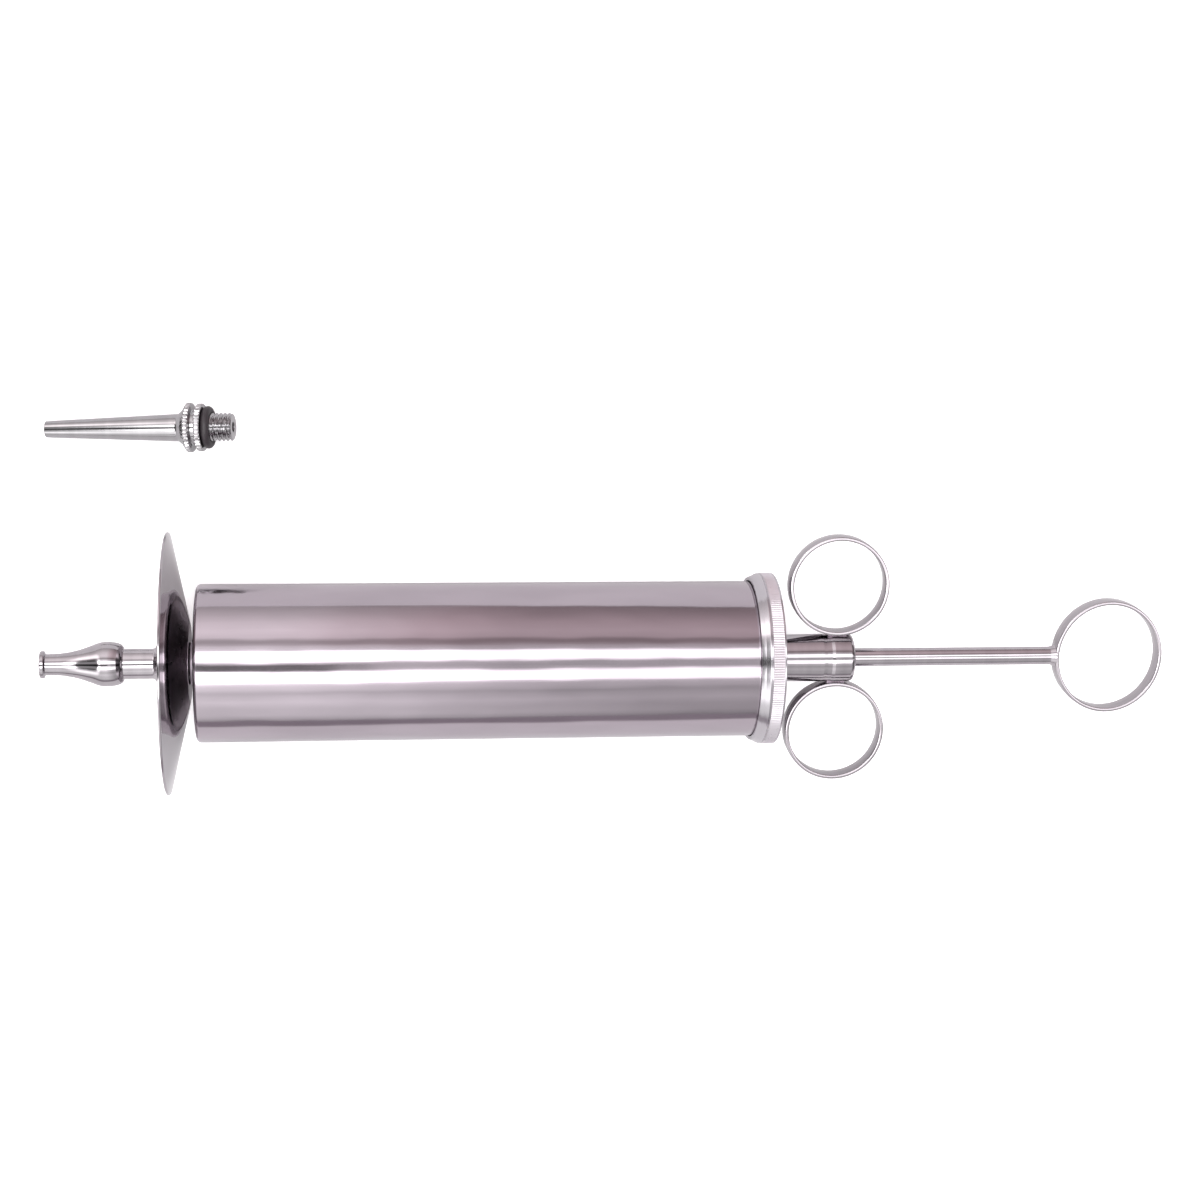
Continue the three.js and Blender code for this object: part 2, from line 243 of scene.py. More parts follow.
def blend_pad(name, ring_centre, ring_radius, core_radius, side, half_x, half_z, matrix):
    """A solder fillet between a finger ring's outside and the sleeve, with hollow flanks."""
    across = 25
    along = 17
    levels = 9
    waist_depth = 0.34
    foot_width = 0.78  # at the sleeve, as a share of the width at the ring
    sunk_in_sleeve = 0.15
    sunk_in_ring = 0.25
    columns = []
    for i in range(across):
        u = -1 + 2 * i / (across - 1)
        for j in range(along):
            v = -1 + 2 * j / (along - 1)
            columns.append((u, v))
    vertices = []
    for level in range(levels):
        t = level / (levels - 1)
        waist = 1 - waist_depth * math.sin(math.pi * t) ** 0.8
        spread = foot_width + (1 - foot_width) * t
        for u, v in columns:
            x = ring_centre[0] + u * half_x * waist * spread
            z = v * half_z * waist
            low = math.sqrt(core_radius**2 - z * z) - sunk_in_sleeve
            dx = x - ring_centre[0]
            high = abs(ring_centre[1]) - math.sqrt(ring_radius**2 - dx * dx) + sunk_in_ring
            vertices.append((x, side * (low + (high - low) * t), z))
    per_level = across * along
    faces = []

    def index(level, i, j):
        return level * per_level + i * along + j

    def quad(a, b, c, d):
        faces.append((index(*a), index(*b), index(*c), index(*d)))

    for i in range(across - 1):
        for j in range(along - 1):
            for level in (0, levels - 1):
                quad((level, i, j), (level, i + 1, j), (level, i + 1, j + 1), (level, i, j + 1))
    for level in range(levels - 1):
        for i in range(across - 1):
            for j in (0, along - 1):
                quad((level, i, j), (level, i + 1, j), (level + 1, i + 1, j), (level + 1, i, j))
        for j in range(along - 1):
            for i in (0, across - 1):
                quad((level, i, j), (level, i, j + 1), (level + 1, i, j + 1), (level + 1, i, j))
    piece = new_object(name, vertices, faces, matrix, sharp=50)
    used = bmesh.new()
    used.from_mesh(piece.data)
    bmesh.ops.delete(used, geom=[v for v in used.verts if not v.link_faces], context="VERTS")
    bmesh.ops.recalc_face_normals(used, faces=used.faces)
    used.to_mesh(piece.data)
    used.free()
    return piece


# Sizes in mm ----------------------------------------------------------------------------------------------

BARREL_R = 22
BORE_R = 21.2
FRONT_LIP_R = 19.6
BARREL_END = 159.3
THREAD_SKIN_R = 21.9  # anything outside this on the barrel's rear end is cut by the thread
CAP_FRONT = 154.9
CAP_REAR = 161.7
CAP_R = 24.3
CAP_PITCH = 1.0
CAP_TEETH = 216
KNURL_FRONT = 158.0
KNURL_REAR = 161.2
SLEEVE_END = 185.1
GROOVE_X = 177.4
BUSH_FRONT = 176.1
ROD_R = 2.6
RING_CENTRE_X = 180.2
RING_OFFSET = 21.2
RING_R = 14.35
RING_THICK = 1.2
BAND_WIDTH = 5.3
SOLDER_FOOT_R = 6.8
SOLDER_HALF_X = 4.2
SOLDER_HALF_Z = 2.3
THUMB_X = 259.9
THUMB_R = 15.8
THUMB_THICK = 1.15
THUMB_STRETCH = 1.04
SHIELD_R = 36.5
NOZZLE_THREAD_R = 4.1
NOZZLE_PITCH = 1.25
NOZZLE_BORE_R = 1.5
SPIGOT_NECK_R = 3.75
FLANGE_THICK = 1.8
BACK_FLANGE_R = 6.9
FRONT_FLANGE_R = 7.2
FLANGE_TEETH = 36
FLANGE_KNURL_DEPTH = 0.4
THREAD_STEP = 0.12  # between the rows of points where a thread is cut
KNURL_STEP = 0.2
SIDES_PER_TOOTH = 6

# Barrel ---------------------------------------------------------------------------------------------------

made = {}

made["barrel_tube"] = turned(
    "barrel_tube_skin",
    refine(
        fillet(
            [
                (0.8, FRONT_LIP_R, 0),
                (0.8, BORE_R, 0.6),
                (BARREL_END, BORE_R, 0),
                (BARREL_END, BARREL_R, 0.15),
                (CAP_FRONT + 1, BARREL_R, 0),
                (0, BARREL_R, 1.4),
                (0, FRONT_LIP_R, 0.15),
            ],
            8,
        ),
        CAP_FRONT + 1,
        BARREL_END - 0.1,
        THREAD_STEP,
        THREAD_SKIN_R,
    ),
    SYRINGE,
    256,
    screw_thread(CAP_PITCH, 0.3, CAP_FRONT + 1, BARREL_END, THREAD_SKIN_R),
)
made["barrel_front_plate"] = turned(
    "front_plate_skin",
    fillet(
        [
            (0.55, 6.02, 0),
            (2.7, 6.02, 0),
            (2.7, 20.3, 0.3),
            (0.85, 20.3, 0),
            (0.85, 19.58, 0),
            (0.35, 19.58, 0),
            (0.62, 18.7, 0.8),
            (0.62, 7.2, 0.8),
        ]
    ),
    SYRINGE,
)
made["nozzle_socket"] = turned(
    "nozzle_socket_skin",
    fillet(
        [
            (-1.75, 4.3, 0.1),
            (4.5, 4.3, 0),
            (4.5, 2, 0.2),
            (5.4, 2, 0.2),
            (5.4, 9, 0.4),
            (2.75, 9, 0.1),
            (2.75, 6, 0),
            (-1.75, 6, 0.25),
        ]
    ),
    SYRINGE,
    96,
)

# Cap, sleeve and finger rings -----------------------------------------------------------------------------

made["screw_cap"] = turned(
    "screw_cap_skin",
    fillet(
        [
            (CAP_FRONT, 22.22, 0.08),
            (CAP_FRONT + 0.5, 22.18, 0),
            (CAP_FRONT + 1.2, BARREL_R + 0.15, 0),
            (CAP_REAR - 1.2, BARREL_R + 0.15, 0.2),
            (CAP_REAR - 1.2, 6.6, 0),
            (CAP_REAR, 6.6, 0),
            (CAP_REAR, 8.4, 0.5),
            (CAP_REAR - 0.12, 9.2, 0.5),
            (CAP_REAR - 0.12, 21.6, 0.5),
            (CAP_REAR, 22.4, 0.4),
            (CAP_REAR, CAP_R - 0.05, 0.45),
            (KNURL_REAR, CAP_R - 0.05, 0),
            (KNURL_REAR, CAP_R - 0.6, 0),
            (KNURL_FRONT, CAP_R - 0.6, 0),
            (KNURL_FRONT, CAP_R - 0.12, 0.06),
            (KNURL_FRONT - 0.22, CAP_R - 0.12, 0.05),
            (KNURL_FRONT - 0.34, CAP_R - 0.34, 0.05),
            (KNURL_FRONT - 0.46, CAP_R - 0.12, 0.05),
            (CAP_FRONT + 2.35, CAP_R - 0.12, 0.3),
            (CAP_FRONT + 1.2, 23.6, 2.4),
            (CAP_FRONT, 23.08, 0.1),
        ]
    ),
    SYRINGE,
    256,
)
made["screw_cap_knurl"] = turned(
    "screw_cap_knurl",
    refine(
        fillet(
            [
                (KNURL_FRONT + 0.04, CAP_R - 0.6, 0),
                (KNURL_REAR - 0.01, CAP_R - 0.6, 0),
                (KNURL_REAR - 0.01, CAP_R, 0.1),
                (KNURL_FRONT + 0.04, CAP_R, 0.1),
            ]
        ),
        KNURL_FRONT,
        KNURL_REAR,
        KNURL_STEP,
        CAP_R - 0.1,
    ),
    SYRINGE,
    CAP_TEETH * SIDES_PER_TOOTH,
    straight_knurl(CAP_TEETH, 0.17, KNURL_FRONT - 0.1, KNURL_REAR + 0.1, CAP_R - 0.15),
)
made["guide_sleeve"] = turned(
    "guide_sleeve_skin",
    fillet(
        [
            (CAP_REAR - 2.4, 4.9, 0),
            (SLEEVE_END - 0.4, 4.9, 0),
            (SLEEVE_END - 0.1, 5.0, 0.1),
            (SLEEVE_END - 0.5, 6.45, 0.8),
            (SLEEVE_END - 1.4, 6.85, 0.9),
            (GROOVE_X + 1.6, 6.85, 0.9),
            (GROOVE_X + 0.7, 6.72, 0.9),
            (GROOVE_X - 0.7, 6.72, 0.9),
            (GROOVE_X - 1.6, 6.84, 0.9),
            (CAP_REAR + 1.3, 6.58, 3),
            (CAP_REAR + 0.02, 7.1, 0.5),
            (CAP_REAR - 1.3, 6.55, 0),
            (CAP_REAR - 1.4, 9, 0),
            (CAP_REAR - 2.4, 9, 0),
        ]
    ),
    SYRINGE,
    128,
)
made["rod_bush"] = turned(
    "rod_bush_skin",
    fillet(
        [
            (BUSH_FRONT, ROD_R + 0.06, 0),
            (SLEEVE_END, ROD_R + 0.06, 0.3),
            (SLEEVE_END, 4.98, 0.3),
            (SLEEVE_END - 0.6, 4.98, 0),
            (BUSH_FRONT, 4.85, 0),
        ]
    ),
    SYRINGE,
    96,
)
for node, side in (("finger_ring_left", 1), ("finger_ring_right", -1)):
    centre = (RING_CENTRE_X, side * RING_OFFSET, 0)
    made[node] = band_ring(f"{node}_band", centre, RING_R, RING_THICK, BAND_WIDTH, SYRINGE)
    made[f"{node}_solder"] = blend_pad(
        f"{node}_solder", centre, RING_R, SOLDER_FOOT_R, side, SOLDER_HALF_X, SOLDER_HALF_Z, SYRINGE
    )

# Plunger --------------------------------------------------------------------------------------------------

rod_end = THUMB_X - THUMB_R
made["plunger_rod"] = turned(
    "plunger_rod_skin",
    fillet(
        [
            (6.1, 0.001, 0),
            (6.1, ROD_R, 0.5),
            (rod_end - 1.2, ROD_R, 1.5),
            (rod_end + 0.45, 3.15, 0.1),
            (rod_end + 0.8, 0.001, 0),
        ]
    ),
    SYRINGE,
    96,
)
made["thumb_ring"] = band_ring(
    "thumb_ring_band", (THUMB_X, 0, 0), THUMB_R, THUMB_THICK, BAND_WIDTH, SYRINGE, THUMB_STRETCH
)

# Nozzle and shield ----------------------------------------------------------------------------------------

made["splash_shield"] = turned(
    "splash_shield_skin",
    fillet(
        [
            (-2.7, 4.4, 0.1),
            (-1.85, 4.4, 0.1),
            (-1.85, 11.2, 6),
            (-7.45, SHIELD_R, 0.38),
            (-8.25, SHIELD_R, 0.38),
            (-2.7, 11.3, 6),
        ],
        8,
    ),
    SYRINGE,
    256,
)


def nozzle_rear(x, end, front_flange, neck, cone):
    """The outline of a nozzle's two flanges and threaded spigot, from the spigot's end forwards. x is the back
    flange's rear face, neck the gap between the flanges and cone the radius in front of the front flange."""
    back_front = x - FLANGE_THICK
    front_back = back_front - neck
    return [
        (end, NOZZLE_BORE_R, 0.2),
        (end, 3.6, 0.1),
        (end - 0.5, NOZZLE_THREAD_R, 0),
        (x + 2.4, NOZZLE_THREAD_R, 0),
        (x + 2.0, SPIGOT_NECK_R, 0.1),
        (x, SPIGOT_NECK_R, 0.2),
        (x, BACK_FLANGE_R, 0.45),
        (back_front, BACK_FLANGE_R, 0.45),
        (back_front, 5, 0.3),
        (front_back, 5, 0.3),
        (front_back, FRONT_FLANGE_R, 0.5),
        (front_back - front_flange * 0.55, FRONT_FLANGE_R, 0.4),
        (front_back - front_flange, cone, 0.5),
    ]


def nozzle_relief(x, end, front_flange, neck):
    """Knurls on both flanges and a thread on the spigot."""
    front_back = x - FLANGE_THICK - neck
    front_low = front_back - front_flange * 0.7
    thread = screw_thread(NOZZLE_PITCH, 0.6, x + 2.3, end, 3.9)
    front = straight_knurl(FLANGE_TEETH, FLANGE_KNURL_DEPTH, front_low, front_back - 0.05, 6.6)
    back = straight_knurl(FLANGE_TEETH, FLANGE_KNURL_DEPTH, x - 1.75, x - 0.05, 6.5)

    def relief(px, r, angle):
        return thread(px, r, angle) + front(px, r, angle) + back(px, r, angle)

    return relief


def nozzle(name, corners, x, end, front_flange, neck, knurl_low, matrix):
    """A nozzle body with fine rows of points on its thread and its knurls."""
    outline = refine(fillet(corners), x + 2, end, THREAD_STEP, 3.5)
    outline = refine(outline, knurl_low, x, KNURL_STEP, 6.4)
    relief = nozzle_relief(x, end, front_flange, neck)
    return turned(name, outline, matrix, FLANGE_TEETH * SIDES_PER_TOOTH, relief)


FLANGE_X = -5.4
SPIGOT_END = 4.1
made["nozzle_body"] = nozzle(
    "nozzle_body_skin",
    [
        (-26, NOZZLE_BORE_R, 0),
        *nozzle_rear(FLANGE_X, SPIGOT_END, 2.2, 1.3, 5.6),
        (-11.6, 4.22, 0.8),
        (-19.98, 4.22, 0),
        (-19.98, 3.1, 0),
        (-26, 3.1, 0),
    ],
    FLANGE_X,
    SPIGOT_END,
    2.2,
    1.3,
    -11,
    SYRINGE,
)


def smooth_curve(points, steps):
    """A Catmull-Rom curve through the points."""
    points = [np.array(p, float) for p in points]
    padded = [2 * points[0] - points[1], *points, 2 * points[-1] - points[-2]]
    out = []
    for a, b, c, d in zip(padded, padded[1:], padded[2:], padded[3:]):
        for step in range(steps):
            t = step / steps
            square = (2 * a - 5 * b + 4 * c - d) * t**2
            cube = (3 * b - a - 3 * c + d) * t**3
            out.append(0.5 * (2 * b + (c - a) * t + square + cube))
    out.append(points[-1])
    return out


olive_side = smooth_curve(
    [
        (-20.15, 5.0),
        (-20.9, 5.6),
        (-22.3, 6.02),
        (-24.4, 6.2),
        (-26.5, 6.0),
        (-29.7, 4.84),
        (-33, 3.8),
        (-36.8, 3.12),
        (-40.8, 2.95),
    ],
    8,
)
olive_tip_end = fillet(
    [
        (-41.2, 2.97, 0.2),
        (-41.5, 3.8, 0.35),
        (-42.75, 3.8, 0.45),
        (-42.75, 2.45, 0.15),
        (-39.5, NOZZLE_BORE_R, 0.5),
    ]
)
olive_inside = fillet(
    [
        (-26.3, NOZZLE_BORE_R, 0),
        (-26.3, 3.15, 0),
        (-19.95, 3.15, 0),
        (-19.95, 4.9, 0.15),
    ]
)
made["olive_tip"] = turned(
    "olive_tip_skin",
    [*olive_side, *olive_tip_end, *olive_inside],
    SYRINGE,
    128,
)
made["nozzle_seal"] = torus("nozzle_seal_ring", -4.1, 5.0, 1.2, SYRINGE, 1.05)

SPARE_FLANGE_X = 46.8
SPARE_END = SPARE_FLANGE_X + 8.6
made["spare_nozzle_body"] = nozzle(
    "spare_nozzle_skin",
    [
        (0, 1.7, 0.1),
        (40, NOZZLE_BORE_R, 0),
        *nozzle_rear(SPARE_FLANGE_X, SPARE_END, 2.7, 1.5, 5.2),
        (39.4, 4.0, 1.2),
        (0, 2.4, 0.12),
    ],
    SPARE_FLANGE_X,
    SPARE_END,
    2.7,
    1.5,
    40.5,
    SPARE,
)
made["spare_nozzle_seal"] = torus("spare_seal_ring", SPARE_FLANGE_X + 1.25, 4.95, 1.22, SPARE, 1.02)

# Materials ------------------------------------------------------------------------------------------------

NODE_BODY = {node: body for body, nodes in frame["record"]["behaviour"]["bodies"].items() for node in nodes}


class Graph:
    """Short calls for building a node tree."""

    def __init__(self, tree):
        self.tree = tree

    def add(self, kind, **settings):
        node = self.tree.nodes.new(kind)
        for key, value in settings.items():
            setattr(node, key, value)
        return node

    def link(self, source, target):
        self.tree.links.new(source, target)

    def put(self, node, **values):
        """Sets or links inputs by name, with underscores for spaces."""
        for key, value in values.items():
            socket = node.inputs[key.replace("_", " ")]
            if isinstance(value, bpy.types.NodeSocket):
                self.link(value, socket)
            else:
                socket.default_value = value
        return node

    def math(self, operation, a, b=0.0, clamp=False):
        node = self.add("ShaderNodeMath", operation=operation, use_clamp=clamp)
        for socket, value in zip(node.inputs, (a, b)):
            if isinstance(value, bpy.types.NodeSocket):
                self.link(value, socket)
            else:
                socket.default_value = value
        return node.outputs[0]

    def ranged(self, value, from_low, from_high, to_low, to_high, smooth=False):
        node = self.add("ShaderNodeMapRange", interpolation_type="SMOOTHSTEP" if smooth else "LINEAR")
        self.put(node, Value=value)
        for socket, number in zip(list(node.inputs)[1:5], (from_low, from_high, to_low, to_high)):
            socket.default_value = number
        return node.outputs[0]

    def noise(self, vector, scale, detail=3.0, roughness=0.55):
        node = self.add("ShaderNodeTexNoise")
        self.put(node, Vector=vector, Scale=scale, Detail=detail, Roughness=roughness)
        return node.outputs["Fac"]

    def stretched(self, vector, factors):
        node = self.add("ShaderNodeMapping")
        self.put(node, Vector=vector, Scale=factors)
        return node.outputs[0]

    def blend(self, amount, a, b):
        node = self.add("ShaderNodeMix", data_type="RGBA")
        for name, value in (("Factor_Float", amount), ("A_Color", a), ("B_Color", b)):
            socket = next(s for s in node.inputs if s.identifier == name)
            if isinstance(value, bpy.types.NodeSocket):
                self.link(value, socket)
            else:
                socket.default_value = value
        return next(s for s in node.outputs if s.identifier == "Result_Color")


def local_millimetres(graph, matrix):
    """Object coordinates turned into a local frame, in mm."""
    coordinates = graph.add("ShaderNodeTexCoord")
    back = matrix.inverted()
    mapping = graph.add("ShaderNodeMapping")
    graph.put(mapping, Vector=coordinates.outputs["Object"])
    mapping.inputs["Location"].default_value = back.translation / MM
    mapping.inputs["Rotation"].default_value = back.to_euler()
    mapping.inputs["Scale"].default_value = (1 / MM,) * 3
    return mapping.outputs[0]


def scaled(values, factor):
    return tuple(v * factor for v in values)


def steel(name, matrix, color, roughness, grain, wave, streaks, dents=0.0):
    """Polished steel. grain stretches the fine polishing lines, wave is the height of slow ripples in mm,
    streaks how strongly the lines change the roughness, and dents the height of the tube's unevenness in mm."""
    material = bpy.data.materials.new(name)
    material.use_nodes = True
    graph = Graph(material.node_tree)
    shader = material.node_tree.nodes["Principled BSDF"]
    place = local_millimetres(graph, matrix)

    lines = graph.noise(graph.stretched(place, grain), 1.0, 5.0, 0.65)
    broad = graph.noise(graph.stretched(place, scaled(grain, 0.22)), 1.0, 2.0)
    cloud = graph.noise(graph.stretched(place, tuple(0.03 + g * 0.03 for g in grain)), 1.0, 2.0)
    specks = graph.noise(place, 3.1, 2.0, 0.7)
    scratches = graph.ranged(lines, 0.66, 0.74, 0.0, 1.0, True)

    darker = scaled(color, 0.95) + (1,)
    lighter = scaled(color, 1.04) + (1,)
    scratched = scaled(color, 0.7) + (1,)
    tone = graph.blend(graph.ranged(cloud, 0.35, 0.65, 0.0, 1.0), darker, lighter)
    tone = graph.blend(graph.math("MULTIPLY", scratches, 0.3), tone, scratched)
    graph.link(tone, shader.inputs["Base Color"])

    rough = graph.ranged(lines, 0.3, 0.7, roughness * (1 - streaks), roughness * (1 + streaks))
    rough = graph.math("ADD", rough, graph.ranged(cloud, 0.4, 0.7, 0.0, roughness * 0.15))
    rough = graph.math("ADD", rough, graph.ranged(specks, 0.62, 0.8, 0.0, 0.12), True)
    graph.link(rough, shader.inputs["Roughness"])

    fine_bump = graph.put(graph.add("ShaderNodeBump"), Strength=0.22, Distance=0.00002, Height=lines)
    slow_bump = graph.put(
        graph.add("ShaderNodeBump"), Strength=1.0, Distance=wave * MM, Height=broad, Normal=fine_bump.outputs[0]
    )
    uneven = graph.put(
        graph.add("ShaderNodeBump"),
        Strength=1.0,
        Distance=dents * MM,
        Height=graph.noise(graph.stretched(place, (0.03, 0.06, 0.06)), 1.0, 2.0),
        Normal=slow_bump.outputs[0],
    )
    graph.link(uneven.outputs[0], shader.inputs["Normal"])
    shader.inputs["Metallic"].default_value = 1
    return material


def rubber(name, matrix, color):
    material = bpy.data.materials.new(name)
    material.use_nodes = True
    graph = Graph(material.node_tree)
    shader = material.node_tree.nodes["Principled BSDF"]
    place = local_millimetres(graph, matrix)
    grain = graph.noise(place, 6.0, 4.0, 0.6)
    dust = graph.ranged(graph.noise(place, 0.8, 3.0), 0.5, 0.75, 0.0, 0.4)
    dusty = tuple(c * 1.9 + 0.01 for c in color) + (1,)
    tone = graph.blend(dust, color + (1,), dusty)
    graph.link(tone, shader.inputs["Base Color"])
    graph.link(graph.ranged(grain, 0.3, 0.7, 0.38, 0.56), shader.inputs["Roughness"])
    bump = graph.put(graph.add("ShaderNodeBump"), Strength=0.35, Distance=0.00004, Height=grain)
    graph.link(bump.outputs[0], shader.inputs["Normal"])
    return material


TINT = (0.455, 0.405, 0.445)
NEUTRAL = (0.452, 0.424, 0.446)
SPARE_TONE = (0.42, 0.41, 0.42)
# The cap's knurl and collar tones are its steel painted lighter than the barrel's: a painted sheen on the knurl
# and painted light on the collar.
KNURL_PAINTED_SHEEN_TONE = (0.74, 0.7, 0.74)
COLLAR_PAINTED_LIGHT_TONE = (0.56, 0.535, 0.565)
RUBBER_TONE = (0.028, 0.022, 0.026)

# Grains: how fast the polishing lines change along each axis, per mm.
LENGTHWISE = (0.012, 2.6, 2.6)
AROUND = (9.0, 0.25, 0.25)
FINE_AROUND = (22.0, 0.5, 0.5)
ALONG_BAND = (1.2, 1.2, 9.0)
EVEN = (1.0, 1.0, 1.0)
FINE_EVEN = (2.0, 2.0, 2.0)

barrel_steel = steel("barrel_steel", SYRINGE, TINT, 0.095, LENGTHWISE, 0.0014, 0.35, dents=0.2)
polished = steel("polished_steel", SYRINGE, scaled(NEUTRAL, 1.07), 0.085, AROUND, 0.0008, 0.35)
mirror = steel("mirror_steel", SYRINGE, NEUTRAL, 0.05, AROUND, 0.0008, 0.4)
# The rings' steel is painted a little darker than the polished steel, as painted shade on the rings' walls.
band_steel_painted_shade = steel("ring_steel_painted_shade", SYRINGE, scaled(NEUTRAL, 0.93), 0.1, ALONG_BAND, 0.001, 0.35)
# The turned steel is painted lighter than the barrel's, as painted light that lifts the dark reflections between
# the shield and the front plate.
turned_steel = steel("turned_steel", SYRINGE, scaled(TINT, 1.35), 0.35, FINE_AROUND, 0.0004, 0.4)
spare_steel = steel("spare_steel", SPARE, SPARE_TONE, 0.06, AROUND, 0.0006, 0.35)
# The cap's knurl and collar carry painted light: their steel is painted lighter than the barrel's.
knurl_painted_sheen = steel("knurled_steel_painted_sheen", SYRINGE, KNURL_PAINTED_SHEEN_TONE, 0.3, FINE_EVEN, 0.001, 0.15)
collar_painted_light = steel("collar_steel_painted_light", SYRINGE, COLLAR_PAINTED_LIGHT_TONE, 0.14, AROUND, 0.0008, 0.35)
# The solder is painted lighter than the barrel's steel, as painted light on the dark reflections in its hollow
# flanks.
solder_steel = steel("solder_steel", SYRINGE, scaled(TINT, 1.2), 0.32, EVEN, 0.02, 0.5)
black_rubber = rubber("black_rubber", SYRINGE, RUBBER_TONE)

LOOKS = {
    "barrel_tube": barrel_steel,
    "barrel_front_plate": turned_steel,
    "nozzle_socket": turned_steel,
    "screw_cap": collar_painted_light,
    "screw_cap_knurl": knurl_painted_sheen,
    "guide_sleeve": polished,
    "rod_bush": turned_steel,
    "finger_ring_left": band_steel_painted_shade,
    "finger_ring_right": band_steel_painted_shade,
    "plunger_rod": polished,
    "thumb_ring": band_steel_painted_shade,
    "splash_shield": mirror,
    "nozzle_body": polished,
    "olive_tip": mirror,
    "nozzle_seal": black_rubber,
    "spare_nozzle_body": spare_steel,
    "spare_nozzle_seal": black_rubber,
    "cap_gasket": black_rubber,
    "piston_seal": black_rubber,
}

for name, piece in made.items():
    node = name.removesuffix("_solder").removesuffix("_knurl")
    piece.data.materials.append(solder_steel if name.endswith("_solder") else LOOKS[name])
    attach(piece, NODE_BODY[node])
    if name == node:
        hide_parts(node)

for node, cad in frame["nodes"].items():
    if node not in made:
        cad.data.materials.clear()
        cad.data.materials.append(LOOKS.get(node, turned_steel))

# Studio ---------------------------------------------------------------------------------------------------

FLOOR_HALF = 3.0
FLOOR_TONE = (0.64, 0.635, 0.645, 1)
FLOOR_PAINTED_SHADE_TONE = (0.25, 0.225, 0.25, 1)  # painted shade on the floor's -Y side, not seen by the camera, which makes the dark lower band on the barrel
FLOOR_SIDE_Y = (-0.26, -0.2)  # where one tone turns into the other, in metres
FLOOR_SEEN_TONE = (0.93, 0.925, 0.93, 1)  # to the camera, where the photo's background is white
FLOOR_SEEN_GLOW = 0.45
WHITE = (1, 0.99, 1, 1)

floor_mesh = bpy.data.meshes.new("floor")
corners = [(sx * FLOOR_HALF, sy * FLOOR_HALF, 0) for sx, sy in ((-1, -1), (1, -1), (1, 1), (-1, 1))]
floor_mesh.from_pydata(corners, [], [(0, 1, 2, 3)])
floor = bpy.data.objects.new("floor", floor_mesh)
bpy.context.scene.collection.objects.link(floor)
floor_paint = bpy.data.materials.new("floor_paint")
floor_paint.use_nodes = True
floor_shader = floor_paint.node_tree.nodes["Principled BSDF"]
floor_shader.inputs["Roughness"].default_value = 0.9
floor_shader.inputs["Specular IOR Level"].default_value = 0.1
floor_graph = Graph(floor_paint.node_tree)
floor_place = floor_graph.add("ShaderNodeSeparateXYZ")
floor_graph.link(floor_graph.add("ShaderNodeTexCoord").outputs["Object"], floor_place.inputs[0])
# The floor's -Y side is painted dark, as painted shade that the barrel reflects.
painted_shade_side = floor_graph.ranged(floor_place.outputs["Y"], *FLOOR_SIDE_Y, 1.0, 0.0, True)
floor_tone = floor_graph.blend(painted_shade_side, FLOOR_TONE, FLOOR_PAINTED_SHADE_TONE)
floor_graph.link(floor_tone, floor_shader.inputs["Base Color"])
bright_paint = floor_graph.put(floor_graph.add("ShaderNodeBsdfDiffuse"), Color=FLOOR_SEEN_TONE)
bright_glow = floor_graph.put(floor_graph.add("ShaderNodeEmission"), Color=WHITE, Strength=FLOOR_SEEN_GLOW)
bright = floor_graph.add("ShaderNodeAddShader")
floor_graph.link(bright_paint.outputs[0], bright.inputs[0])
floor_graph.link(bright_glow.outputs[0], bright.inputs[1])
seen = floor_graph.add("ShaderNodeMixShader")
floor_graph.link(floor_graph.add("ShaderNodeLightPath").outputs["Is Camera Ray"], seen.inputs[0])
floor_graph.link(floor_shader.outputs[0], seen.inputs[1])
floor_graph.link(bright.outputs[0], seen.inputs[2])
floor_graph.link(seen.outputs[0], floor_paint.node_tree.nodes["Material Output"].inputs["Surface"])
floor_mesh.materials.append(floor_paint)

# The studio's ceiling as seen from the syringe: two long soft boxes along X. Each row is an angle in degrees
# from straight up towards +Y, the light's strength there and how pink it is.
CEILING = (
    (-93, 0.35, 0),
    (-86, 0.58, 0),
    (-80, 0.72, 0),
    (-69, 0.75, 0),
    (-58, 0.92, 0),
    (-49, 0.80, 0),
    (-44, 0.68, 0),
    (-39, 0.90, 0),
    (-33, 1.0, 0),
    (-29.5, 1.2, 0),
    (-27, 3.3, 0),
    (-14, 3.3, 0),
    (-11.5, 1.2, 0),
    (-9, 0.8, 0),
    (-1, 0.8, 0),
    (1, 1.0, 0),
    (3.5, 3.3, 0),
    (15.5, 3.3, 0),
    (18.5, 0.92, 0.1),
    (24, 0.85, 0.4),
    (27.5, 0.5, 1),
    (32.5, 0.45, 1),
    (37, 0.86, 0.9),
    (47, 0.96, 0.9),
    (62, 0.81, 1),
    (74, 0.61, 1),
    (86, 0.46, 1),
    (93, 0.38, 0.5),
)
BRIGHTEST = 4.0  # the strength that a full colour of the ramp stands for
HORIZON = 0.7

# How the light changes along the direction's own X, from -1 to 1: two values of X, and the factor at each.
ALONG = (0.0, 0.25, 1.5, 0.85)
SATURATION = (-0.02, 0.16, 0.35, 1.05)
REAR_END = (0.55, 0.85, 1.0, 0.3)
FRONT_END = (-0.95, -0.76, 0.1, 1.0)

# The gap between the soft boxes is darker towards the nozzle.
GAP_X = (0.03, 0.12, 1.0, 0.0)
GAP_START = (-13, -9)  # degrees
GAP_END = (-3, 2)
GAP_SHADE = 0.78

# A dark oval spot beyond the nozzle, with a bright rim. The ranges are of the squared distance from its centre.
SPOT_X = -0.73
SPOT_HALF_X = 0.3
SPOT_ANGLE = -5  # degrees
SPOT_HALF_ANGLE = 48
SPOT_DARK = (0.3, 1.2, 0.05, 1.0)
SPOT_RIM = (1.2, 2.6, 1.9, 1.0)


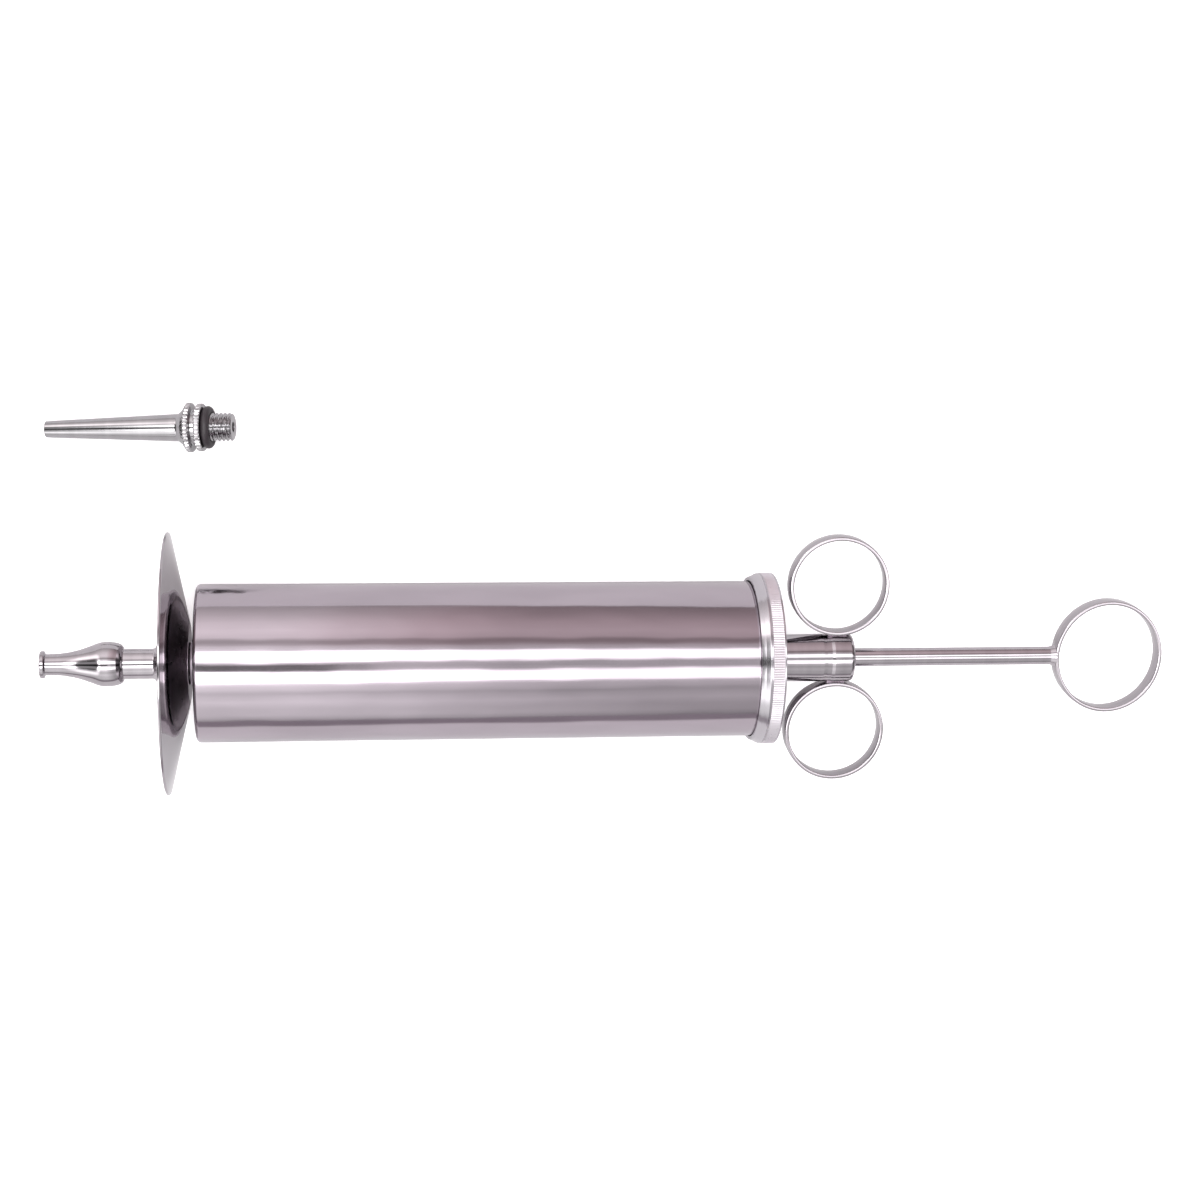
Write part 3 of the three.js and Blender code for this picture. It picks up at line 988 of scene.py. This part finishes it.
def ceiling_color(light, pink):
    level = light / BRIGHTEST
    return (level, level * (0.985 - 0.155 * pink), level * (1 - 0.14 * pink), 1)


world = bpy.data.worlds.new("studio")
bpy.context.scene.world = world
world.use_nodes = True
world.node_tree.nodes.clear()
sky = Graph(world.node_tree)
direction = sky.add("ShaderNodeSeparateXYZ")
sky.link(sky.add("ShaderNodeTexCoord").outputs["Generated"], direction.inputs[0])
across_x = direction.outputs["X"]
tilt = sky.math("ARCTAN2", direction.outputs["Y"], direction.outputs["Z"])
ramp = sky.add("ShaderNodeValToRGB")
sky.put(ramp, Fac=sky.ranged(tilt, -math.pi, math.pi, 0.0, 1.0))
for stop in ramp.color_ramp.elements:
    stop.color = ceiling_color(HORIZON, 0)
for angle, light, pink in CEILING:
    ramp.color_ramp.elements.new((angle + 180) / 360).color = ceiling_color(light, pink)

gap_side = sky.ranged(across_x, *GAP_X, True)
gap_start = sky.ranged(tilt, *(math.radians(a) for a in GAP_START), 0.0, 1.0, True)
gap_end = sky.ranged(tilt, *(math.radians(a) for a in GAP_END), 1.0, 0.0, True)
gap = sky.math("MULTIPLY", gap_side, sky.math("MULTIPLY", gap_start, gap_end))
shade = sky.math("SUBTRACT", 1.0, sky.math("MULTIPLY", gap, GAP_SHADE))

spot_x = sky.math("DIVIDE", sky.math("SUBTRACT", across_x, SPOT_X), SPOT_HALF_X)
spot_tilt = sky.math("SUBTRACT", tilt, math.radians(SPOT_ANGLE))
spot_y = sky.math("DIVIDE", spot_tilt, math.radians(SPOT_HALF_ANGLE))
spot = sky.math("ADD", sky.math("MULTIPLY", spot_x, spot_x), sky.math("MULTIPLY", spot_y, spot_y))
spot_shade = sky.math("MULTIPLY", sky.ranged(spot, *SPOT_DARK, True), sky.ranged(spot, *SPOT_RIM, True))
ends = sky.math("MULTIPLY", sky.ranged(across_x, *REAR_END, True), sky.ranged(across_x, *FRONT_END, True))

along = sky.ranged(across_x, *ALONG)
strength = sky.math("MULTIPLY", sky.math("MULTIPLY", along, shade), BRIGHTEST)
strength = sky.math("MULTIPLY", strength, sky.math("MULTIPLY", spot_shade, ends))
paler = sky.put(
    sky.add("ShaderNodeHueSaturation"),
    Color=ramp.outputs["Color"],
    Saturation=sky.ranged(across_x, *SATURATION),
)
soft_light = sky.put(sky.add("ShaderNodeBackground"), Color=paler.outputs[0], Strength=strength)
plain = sky.put(sky.add("ShaderNodeBackground"), Color=WHITE, Strength=1.0)
choose = sky.add("ShaderNodeMixShader")
sky.link(sky.add("ShaderNodeLightPath").outputs["Is Camera Ray"], choose.inputs[0])
sky.link(soft_light.outputs[0], choose.inputs[1])
sky.link(plain.outputs[0], choose.inputs[2])
sky.link(choose.outputs[0], sky.add("ShaderNodeOutputWorld").inputs[0])
bpy.context.scene.view_settings.view_transform = "Standard"

# Camera ---------------------------------------------------------------------------------------------------

LENS = 70.05
SENSOR_WIDTH = 36
CLIP_START = 0.01
CAMERA_YAW = math.radians(6.2)  # the barrel's axis, away from the picture plane
CAMERA_SLOPE = 0.0065  # the barrel's axis, rising to the right
CAMERA_ROLL = math.radians(13)  # the finger rings' plane about the barrel's axis
CROSSING = Vector((112.5, 0, 0))  # the point of the axis in the middle column of the picture
CROSSING_SEEN = Vector((0, -16.83, -660.3))  # the same point from the camera

axis_seen = Vector((math.cos(CAMERA_YAW), CAMERA_SLOPE, -math.sin(CAMERA_YAW)))
side_seen = Vector((0, math.cos(CAMERA_ROLL), math.sin(CAMERA_ROLL)))
syringe_seen = frame_matrix(axis_seen, side_seen, CROSSING_SEEN * MM, CROSSING)
camera_data = bpy.data.cameras.new("camera")
camera_data.lens = LENS
camera_data.sensor_width = SENSOR_WIDTH
camera_data.clip_start = CLIP_START
camera = bpy.data.objects.new("camera", camera_data)
bpy.context.scene.collection.objects.link(camera)
camera.matrix_world = SYRINGE @ syringe_seen.inverted()
bpy.context.scene.camera = camera
